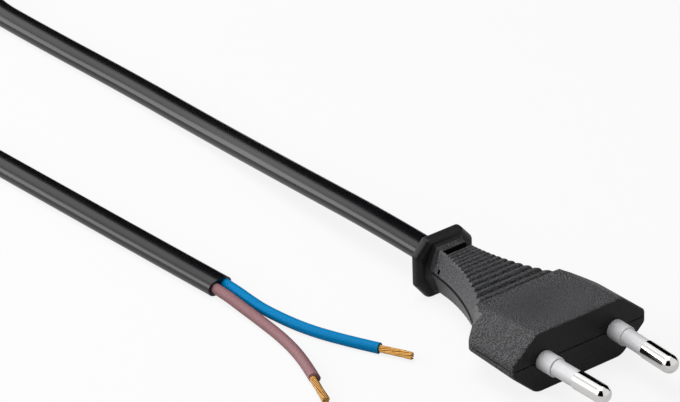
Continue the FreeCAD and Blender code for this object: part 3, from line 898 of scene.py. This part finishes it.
def turned(profile, side, closed):
    """Mesh turned from a chain of (radius, distance in front of the face), on the pin at side -1 or +1."""
    bm = bmesh.new()
    verts = [bm.verts.new((radius, -distance, 0.0)) for radius, distance in profile]
    pairs = list(zip(verts, verts[1:]))
    if closed:
        pairs.append((verts[-1], verts[0]))
    edges = [bm.edges.new(pair) for pair in pairs]
    bmesh.ops.spin(bm, geom=verts + edges, cent=(0, 0, 0), axis=(0, 1, 0), angle=math.tau, steps=TURN_STEPS,
                   use_merge=True)
    bmesh.ops.remove_doubles(bm, verts=bm.verts, dist=MERGE_DISTANCE)
    bmesh.ops.recalc_face_normals(bm, faces=bm.faces)
    length = bpy.context.scene.plug_sizes.pin_length / MM
    lean = math.atan((PIN_SPACING_AT_FACE - PIN_SPACING_AT_TIP) / 2 / length)
    place = Matrix.Translation((side * PIN_SPACING_AT_FACE / 2, FRONT_Y, MID_Z))
    turn = Matrix.Rotation(-side * lean, 4, "Z")
    bmesh.ops.transform(bm, matrix=Matrix.Scale(MM, 4) @ place @ turn, verts=bm.verts)
    return bm


def pin_profile():
    """Half outline of a contact pin, from its round nose to the bore of its crimp."""
    sizes = bpy.context.scene.plug_sizes
    radius = sizes.pin_diameter / MM / 2
    length = sizes.pin_length / MM
    shoulder = length - BARE_LENGTH
    holder_back = -HOLDER_FROM_FRONT - HOLDER_DEPTH
    flange_back = holder_back - FLANGE_LENGTH
    crimp_back = flange_back - CRIMP_LENGTH
    bore_end = crimp_back + BORE_DEPTH
    nose = []
    for step in range(NOSE_STEPS + 1):
        angle = math.pi / 2 * step / NOSE_STEPS
        nose.append((radius * math.sin(angle), length - radius + radius * math.cos(angle)))
    return nose + [
        (radius, shoulder + TURNED_EDGE), (radius - TURNED_EDGE, shoulder),
        (SHANK_RADIUS, shoulder), (SHANK_RADIUS, holder_back),
        (FLANGE_RADIUS, holder_back), (FLANGE_RADIUS, flange_back),
        (CRIMP_RADIUS, flange_back), (CRIMP_RADIUS, crimp_back),
        (BORE_RADIUS, crimp_back), (BORE_RADIUS, bore_end), (0.0, bore_end),
    ]


def tube_profile(radius, back, front, edge):
    """Half outline of a tube on the pin's shank, with its front edge rounded."""
    rounded = [(radius - inset, front - advance) for advance, inset in round_edge(edge, EDGE_STEPS)]
    return [(SHANK_RADIUS, back), (SHANK_RADIUS, front)] + rounded + [(radius, back)]


def on_both_pins(name, profile, closed, finish, node):
    """Piece turned from a profile on each of the two pins."""
    for hand, side in HANDS:
        mesh = mesh_from(turned(profile, side, closed), name + hand)
        smooth_but_sharp(dressed(name + hand, mesh, [finish], [node + hand]))


class PLUG_OT_pins(bpy.types.Operator):
    """Turn the two contact pins"""
    bl_idname = "plug.pins"
    bl_label = "Contact pins"

    def execute(self, context):
        on_both_pins("pin_", pin_profile(), False, "plated_nickel", "contact_pin_")
        return {"FINISHED"}


class PLUG_OT_sleeves(bpy.types.Operator):
    """Turn the insulating sleeves behind the bare metal"""
    bl_idname = "plug.sleeves"
    bl_label = "Pin sleeves"

    def execute(self, context):
        front = context.scene.plug_sizes.pin_length / MM - BARE_LENGTH
        profile = tube_profile(SLEEVE_RADIUS, STUB_LENGTH, front, SLEEVE_EDGE_RADIUS)
        on_both_pins("sleeve_", profile, True, "pale_polyamide", "pin_sleeve_")
        return {"FINISHED"}


class PLUG_OT_holder(bpy.types.Operator):
    """Make the insert that holds the pins, with its two stubs in front of the face"""
    bl_idname = "plug.holder"
    bl_label = "Pin holder"

    def execute(self, context):
        bm = bmesh.new()
        middle = (0, FRONT_Y + HOLDER_FROM_FRONT + HOLDER_DEPTH / 2, MID_Z)
        box_at(bm, (HOLDER_WIDTH, HOLDER_DEPTH, HOLDER_HEIGHT), middle)
        bmesh.ops.bevel(bm, geom=bm.edges[:], offset=HOLDER_EDGE_RADIUS, affect="EDGES",
                        segments=HOLDER_EDGE_STEPS, profile=0.5, material=-1)
        to_metres(bm)
        profile = tube_profile(STUB_RADIUS, -HOLDER_FROM_FRONT, STUB_LENGTH, STUB_EDGE_RADIUS)
        for hand, side in HANDS:
            stub = mesh_from(turned(profile, side, closed=True), "stub_" + hand)
            bm.from_mesh(stub)
            bpy.data.meshes.remove(stub)
        mesh = mesh_from(bm, "pin_holder")
        holder = dressed("pin_holder", mesh, ["pale_polyamide"], ["pin_bridge"])
        smooth_but_sharp(holder)
        return {"FINISHED"}


# Lead

def eased(value, start, end):
    """0 before start, 1 after end, and a soft step between."""
    share = min(max((value - start) / (end - start), 0.0), 1.0)
    return share * share * (3 - 2 * share)


def coil_points():
    """Control points of the coil: two rings wide and climbing, each move clear of the next turn."""
    step = math.tau / COIL_POINTS_PER_TURN
    draw_in = 1 / math.cos(step / 2)
    points = []
    for index in range(1, int(COIL_TOTAL_TURNS * COIL_POINTS_PER_TURN)):
        angle = index * step
        turns = angle / math.tau
        inward = eased(turns, *COIL_MOVE_IN) - eased(turns, *COIL_MOVE_OUT)
        radius = COIL_OUTER_TURN + inward * (COIL_INNER_TURN - COIL_OUTER_TURN)
        layer = sum(eased(turns, *climb) for climb in COIL_CLIMBS)
        points.append((
            COIL_CENTRE[0] + radius * draw_in * math.cos(angle),
            COIL_CENTRE[1] + radius * draw_in * math.sin(angle),
            LEAD_LOW_Z + layer * COIL_LAYER_PITCH,
        ))
    return points


def new_curve(name, steps):
    """Empty curve in space, drawn with the given steps between its points."""
    curve = bpy.data.curves.new(name, "CURVE")
    curve.dimensions = "3D"
    curve.resolution_u = steps
    return curve


def add_spline(curve, points, shares):
    """Smooth open line of a curve, from control points in metres and the section's share at each."""
    spline = curve.splines.new("NURBS")
    spline.points.add(len(points) - 1)
    for control, point, share in zip(spline.points, points, shares):
        control.co = (*point, 1.0)
        control.radius = share
    spline.order_u = ROUTE_ORDER
    spline.use_endpoint_u = True


def route_curve(name, points, shares):
    """Curve of a route, from control points in millimetres, whose section stays upright."""
    curve = new_curve(name, ROUTE_STEPS)
    curve.twist_mode = "Z_UP"
    add_spline(curve, [[MM * value for value in point] for point in points], shares)
    return curve


def mesh_of(curve):
    """Mesh that a curve makes."""
    holder = linked("route", curve)
    mesh = evaluated_mesh(holder)
    bpy.data.objects.remove(holder)
    return mesh


def path_of(curve):
    """Points along a curve with no thickness."""
    mesh = mesh_of(curve)
    points = [tuple(vert.co) for vert in mesh.vertices]
    bpy.data.meshes.remove(mesh)
    return points


def flat_section(width, thickness):
    """Curve object of the sheath's outline: two slightly crowned flats between two round edges."""
    curve = bpy.data.curves.new("section", "CURVE")
    curve.dimensions = "2D"
    spline = curve.splines.new("POLY")
    spline.use_cyclic_u = True
    rise = thickness / 2
    sine = math.sin(SHEATH_CROWN)
    cosine = math.cos(SHEATH_CROWN)
    share = (1 - sine) / cosine
    crown = (width / 2 - rise * share) / (sine - (1 - cosine) * share)
    edge = (rise - crown * (1 - cosine)) / cosine
    points = []
    for side in (1, -1):
        for step in range(SHEATH_STEPS + 1):
            angle = (math.pi / 2 - SHEATH_CROWN) * (2 * step / SHEATH_STEPS - 1)
            x = width / 2 - edge + edge * math.cos(angle)
            points.append((side * x, side * edge * math.sin(angle)))
        for step in range(1, SHEATH_STEPS):
            angle = math.pi / 2 + SHEATH_CROWN * (2 * step / SHEATH_STEPS - 1)
            y = rise - crown + crown * math.sin(angle)
            points.append((side * crown * math.cos(angle), side * y))
    spline.points.add(len(points) - 1)
    for control, (x, y) in zip(spline.points, points):
        control.co = (x, y, 0.0, 1.0)
    return linked("section", curve)


def open_mouth(bm, near, wall, depth):
    """Close both ends of a tube and hollow the one that lies near a point, leaving a wall."""
    rims = [edge for edge in bm.edges if edge.is_boundary]
    caps = bmesh.ops.edgeloop_fill(bm, edges=rims)["faces"]
    bmesh.ops.recalc_face_normals(bm, faces=bm.faces)
    cap = min(caps, key=lambda face: (face.calc_center_median() - near).length)
    bmesh.ops.inset_region(bm, faces=[cap], thickness=wall)
    inward = -cap.normal * depth
    pushed = bmesh.ops.extrude_discrete_faces(bm, faces=[cap])["faces"]
    bmesh.ops.translate(bm, verts=pushed[0].verts, vec=inward)


class PLUG_OT_lead(bpy.types.Operator):
    """Lay the flat lead from the collar through its coil to the cut end"""
    bl_idname = "plug.lead"
    bl_label = "Lead"

    def execute(self, context):
        sizes = context.scene.lead_sizes
        plug_run = PLUG_ROUTE[:-1]
        coil = PLUG_ROUTE[-1:] + coil_points() + END_ROUTE[:1]
        end_run = END_ROUTE[1:]
        shares = [PLUG_RUN_SHARE] * len(plug_run) + [COIL_SHARE] * len(coil) + [1.0] * len(end_run)
        route = route_curve("lead_route", plug_run + coil + end_run, shares)
        path = path_of(route)
        section = flat_section(sizes.width, sizes.thickness)
        route.bevel_mode = "OBJECT"
        route.bevel_object = section
        tube = mesh_of(route)
        bpy.data.objects.remove(section)
        bm = bmesh.new()
        bm.from_mesh(tube)
        bmesh.ops.remove_doubles(bm, verts=bm.verts, dist=SHEATH_MERGE_DISTANCE * MM)
        open_mouth(bm, Vector(path[-1]), SHEATH_WALL * MM, SHEATH_MOUTH_DEPTH * MM)
        lead = dressed("mains_lead", mesh_from(bm, "mains_lead"), ["sheath_pvc"],
                       ["cord_plug_run", "cord_coil", "cord_end_run"])
        smooth_but_sharp(lead)
        return {"FINISHED"}


def left_of(along):
    """Level direction to the left of a way along the floor, seen from the end."""
    return along.cross(Vector((0, 0, 1))).normalized()


def strand_bundle(name, end, along, length, seed):
    """Bunch of twisted copper wires that starts at the end of a core and frays a little at its tip."""
    draw = random.Random(seed)
    side = left_of(along)
    up = side.cross(along).normalized()
    curve = new_curve(name, STRAND_STEPS)
    curve.bevel_depth = STRAND_DIAMETER / 2 * MM
    curve.bevel_resolution = STRAND_ROUND_STEPS
    curve.use_fill_caps = True
    for ring_radius, count in STRAND_RINGS:
        for index in range(count):
            reach = length * draw.uniform(*STRAND_REACH)
            drift = draw.uniform(*STRAND_DRIFT)
            fray = draw.uniform(*STRAND_FRAY)
            points = []
            for step in range(STRAND_POINTS):
                share = step / (STRAND_POINTS - 1)
                angle = math.tau * index / count + STRAND_TWIST * share + drift * share
                radius = ring_radius * (1 + fray * share ** 3)
                forward = -STRAND_HIDDEN_LENGTH + (reach + STRAND_HIDDEN_LENGTH) * share
                offset = side * (radius * math.cos(angle)) + up * (radius * math.sin(angle))
                point = end + (along * forward + offset) * MM
                point.z = max(point.z, STRAND_DIAMETER / 2 * MM)
                points.append(point)
            add_spline(curve, points, [1.0] * STRAND_POINTS)
    return mesh_of(curve)


def tear_end(mesh, end, along, radius, reach, seed):
    """Pull the last ring of a core out unevenly, as insulation that was torn and not cut."""
    draw = random.Random(seed)
    side = left_of(along)
    for vert in mesh.vertices:
        offset = vert.co - end
        if abs(offset.dot(along)) < TEAR_RING * MM:
            across = -offset.dot(side) / radius
            pull = max(0.0, across) * reach + draw.uniform(0.0, TEAR_UNEVENNESS) * MM
            vert.co += along * pull


class PLUG_OT_cores(bpy.types.Operator):
    """Lay the two insulated cores out of the cut end, with their bare copper"""
    bl_idname = "plug.cores"
    bl_label = "Stripped cores"

    def execute(self, context):
        sizes = context.scene.lead_sizes
        for index, (colour, (points, bare, torn, aside)) in enumerate(CORES.items()):
            route = route_curve(colour + "_route", points, [1.0] * len(points))
            path = path_of(route)
            route.bevel_depth = sizes.core_diameter / 2
            route.bevel_resolution = CORE_ROUND_STEPS
            route.use_fill_caps = True
            mesh = mesh_of(route)
            end = Vector(path[-1])
            along = (end - Vector(path[-2])).normalized()
            seed = sizes.strand_seed + index
            tear_end(mesh, end, along, sizes.core_diameter / 2, torn * MM, seed)
            core = dressed(colour + "_core", mesh, [colour + "_core_pvc"],
                           [colour + "_core_end"])
            smooth_but_sharp(core)
            start = end + left_of(along) * aside * MM
            strands = strand_bundle(colour + "_copper", start, along, bare, seed)
            copper = dressed(colour + "_copper", strands, ["bare_copper"],
                             [colour + "_strands_end"])
            copper.data.shade_smooth()
        return {"FINISHED"}


class PLUG_OT_tie(bpy.types.Operator):
    """Fold the tie round the far side of the coil"""
    bl_idname = "plug.tie"
    bl_label = "Coil tie"

    def execute(self, context):
        bm = bmesh.new()
        box_at(bm, TIE_HIGH - TIE_LOW, (TIE_LOW + TIE_HIGH) / 2)
        ends = [face for face in bm.faces if abs(face.normal.x) > FACES_ALONG]
        bmesh.ops.delete(bm, geom=ends, context="FACES_ONLY")
        corners = [edge for edge in bm.edges if not edge.is_boundary]
        bmesh.ops.bevel(bm, geom=corners, offset=TIE_CORNER_RADIUS * MM, affect="EDGES",
                        segments=TIE_CORNER_STEPS, profile=0.5, material=-1)
        tie = dressed("lead_tie", mesh_from(bm, "lead_tie"), ["tie_polyamide"], ["cord_tie"])
        wall = tie.modifiers.new("wall", "SOLIDIFY")
        wall.thickness = TIE_WALL * MM
        wall.offset = -1.0
        smooth_but_sharp(tie)
        return {"FINISHED"}


class PLUG_OT_inner(bpy.types.Operator):
    """Give the pieces inside the body their finishes"""
    bl_idname = "plug.inner"
    bl_label = "Inner pieces"

    def execute(self, context):
        for colour in CORES:
            finishes = (("inner_core_", colour + "_core_pvc"), ("crimp_strands_", "bare_copper"))
            for node, finish in finishes:
                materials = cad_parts[node + colour].data.materials
                materials.clear()
                materials.append(finish_of(finish))
        return {"FINISHED"}


# Stage

def soft_light(name, size, watts, place, target):
    """Rectangular area light at a place, turned to a target."""
    data = bpy.data.lights.new(name, "AREA")
    data.shape = "RECTANGLE"
    data.size = size[0]
    data.size_y = size[1]
    data.energy = watts
    light = linked(name, data)
    light.location = place
    light.visible_camera = False
    light.rotation_euler = (Vector(place) - Vector(target)).to_track_quat("Z", "Y").to_euler()


def seen_ray(tree):
    """1 for rays that show the background: to the camera, and through or off glossy things."""
    rays = add_node(tree, "ShaderNodeLightPath")
    glossy = add_node(tree, "ShaderNodeMath", {"operation": "MAXIMUM"},
                      {0: rays.outputs["Is Glossy Ray"], 1: rays.outputs["Is Transmission Ray"]})
    return add_node(tree, "ShaderNodeMath", {"operation": "MAXIMUM"},
                    {0: rays.outputs["Is Camera Ray"], 1: glossy.outputs[0]}).outputs[0]


def mixed(tree, share, first, second):
    """Mix of two shader nodes by a share."""
    links = {0: share, 1: first.outputs[0], 2: second.outputs[0]}
    return add_node(tree, "ShaderNodeMixShader", None, links)


def staged_grid(name, matrix):
    """Square sheet of the stage, two units wide before the matrix places it."""
    bm = bmesh.new()
    bmesh.ops.create_grid(bm, x_segments=1, y_segments=1, size=1.0, matrix=matrix)
    sheet = linked(name, mesh_from(bm, name))
    return sheet


def black_card(name, first, last, top):
    """Upright black card that only reflections see, between two angles from +Y towards +X."""
    half_width = CARD_DISTANCE * math.tan(math.radians(last - first) / 2)
    half_height = CARD_DISTANCE * math.tan(math.radians(top)) / 2
    turn = Matrix.Rotation(-math.radians(first + last) / 2, 4, "Z")
    place = turn @ Matrix.Translation((0.0, CARD_DISTANCE, half_height))
    stand = Matrix.Rotation(math.radians(90), 4, "X") @ Matrix.Diagonal((half_width, half_height, 1.0, 1.0))
    card = staged_grid(name, place @ stand)
    for ray in ("camera", "diffuse", "shadow", "transmission"):
        setattr(card, "visible_" + ray, False)
    velvet, _ = plain_material(name + "_velvet", {"Base Color": grey(0.0), "Specular IOR Level": 0.0})
    card.data.materials.append(velvet)


def white_floor():
    """White floor, part of whose white is its own light so that the lead's shadow stays faint."""
    floor = staged_grid("floor", Matrix.Scale(FLOOR_HALF_SIZE, 4))
    paper = bpy.data.materials.new("white_paper")
    paper.use_nodes = True
    tree = paper.node_tree
    tree.nodes.clear()
    matte = add_node(tree, "ShaderNodeBsdfDiffuse", inputs={"Color": grey(FLOOR_WHITE)})
    glow = add_node(tree, "ShaderNodeEmission", inputs={"Color": grey(1.0), "Strength": 1.0})
    camera_ray = add_node(tree, "ShaderNodeLightPath").outputs["Is Camera Ray"]
    glowing = map_range(tree, camera_ray, {"To Min": FLOOR_GLOW_REFLECTED, "To Max": FLOOR_GLOW_SEEN})
    bounce = add_node(tree, "ShaderNodeBsdfDiffuse", inputs={"Color": grey(FLOOR_BOUNCE)})
    shown = mixed(tree, seen_ray(tree), bounce, mixed(tree, glowing, matte, glow))
    add_node(tree, "ShaderNodeOutputMaterial", links={"Surface": shown.outputs[0]})
    floor.data.materials.append(paper)


def white_world(scene):
    """World that is white where it is seen and gives little light of its own."""
    scene.world = bpy.data.worlds.new("studio")
    scene.world.use_nodes = True
    tree = scene.world.node_tree
    tree.nodes.clear()
    levels = [add_node(tree, "ShaderNodeBackground", inputs={"Color": grey(1.0), "Strength": strength})
              for strength in (WORLD_UNSEEN, WORLD_SEEN)]
    sky = mixed(tree, seen_ray(tree), *levels)
    add_node(tree, "ShaderNodeOutputWorld", links={"Surface": sky.outputs[0]})


def fitted_camera(scene):
    """Camera as it was fitted to the photograph."""
    data = bpy.data.cameras.new("camera")
    data.lens = CAMERA_LENS
    data.sensor_fit = "HORIZONTAL"
    data.sensor_width = SENSOR_WIDTH
    data.clip_start = CAMERA_CLIP_START
    aim = Matrix.Rotation(CAMERA_AZIMUTH, 4, "Z") @ Matrix.Rotation(math.pi / 2 - CAMERA_ELEVATION, 4, "X")
    roll = Matrix.Rotation(CAMERA_ROLL, 4, "Z")
    target = Matrix.Translation(Vector(CAMERA_TARGET) * MM)
    scene.camera = linked("camera", data)
    scene.camera.matrix_world = target @ aim @ roll @ Matrix.Translation((0.0, 0.0, CAMERA_DISTANCE * MM))


class PLUG_OT_stage(bpy.types.Operator):
    """Set the floor, the lights and the camera"""
    bl_idname = "plug.stage"
    bl_label = "Stage"

    def execute(self, context):
        context.scene.view_settings.view_transform = "Standard"
        white_floor()
        white_world(context.scene)
        for name, values in LIGHTS.items():
            soft_light(name, *values)
        for name, angles in CARDS.items():
            black_card(name, *angles)
        fitted_camera(context.scene)
        return {"FINISHED"}


class PLUG_PT_panel(bpy.types.Panel):
    """Sidebar panel with the plug's sizes, finishes and steps"""
    bl_idname = "PLUG_PT_panel"
    bl_label = "Flat mains plug"
    bl_space_type = "VIEW_3D"
    bl_region_type = "UI"
    bl_category = "Plug"

    def draw(self, context):
        layout = self.layout
        for group in (context.scene.plug_sizes, context.scene.lead_sizes, context.scene.plug_finishes):
            for name in group.bl_rna.properties.keys():
                if name not in ("rna_type", "name"):
                    layout.prop(group, name)
        for operator in OPERATORS:
            layout.operator(operator.bl_idname)


GROUPS = {"plug_sizes": PlugSizes, "lead_sizes": LeadSizes, "plug_finishes": Finishes}
OPERATORS = (PLUG_OT_stage, PLUG_OT_lead, PLUG_OT_cores, PLUG_OT_body, PLUG_OT_pins, PLUG_OT_sleeves,
             PLUG_OT_holder, PLUG_OT_tie, PLUG_OT_inner)
CLASSES = (*GROUPS.values(), *OPERATORS, PLUG_PT_panel)


def register():
    for cls in CLASSES:
        bpy.utils.register_class(cls)
    for name, group in GROUPS.items():
        setattr(bpy.types.Scene, name, PointerProperty(type=group))


def unregister():
    for name in GROUPS:
        delattr(bpy.types.Scene, name)
    for cls in reversed(CLASSES):
        bpy.utils.unregister_class(cls)


def main():
    register()
    bpy.ops.plug.stage()
    bpy.ops.plug.lead()
    bpy.ops.plug.cores()
    bpy.ops.plug.body()
    bpy.ops.plug.pins()
    bpy.ops.plug.sleeves()
    bpy.ops.plug.holder()
    bpy.ops.plug.tie()
    bpy.ops.plug.inner()


if __name__ == "__main__":
    main()
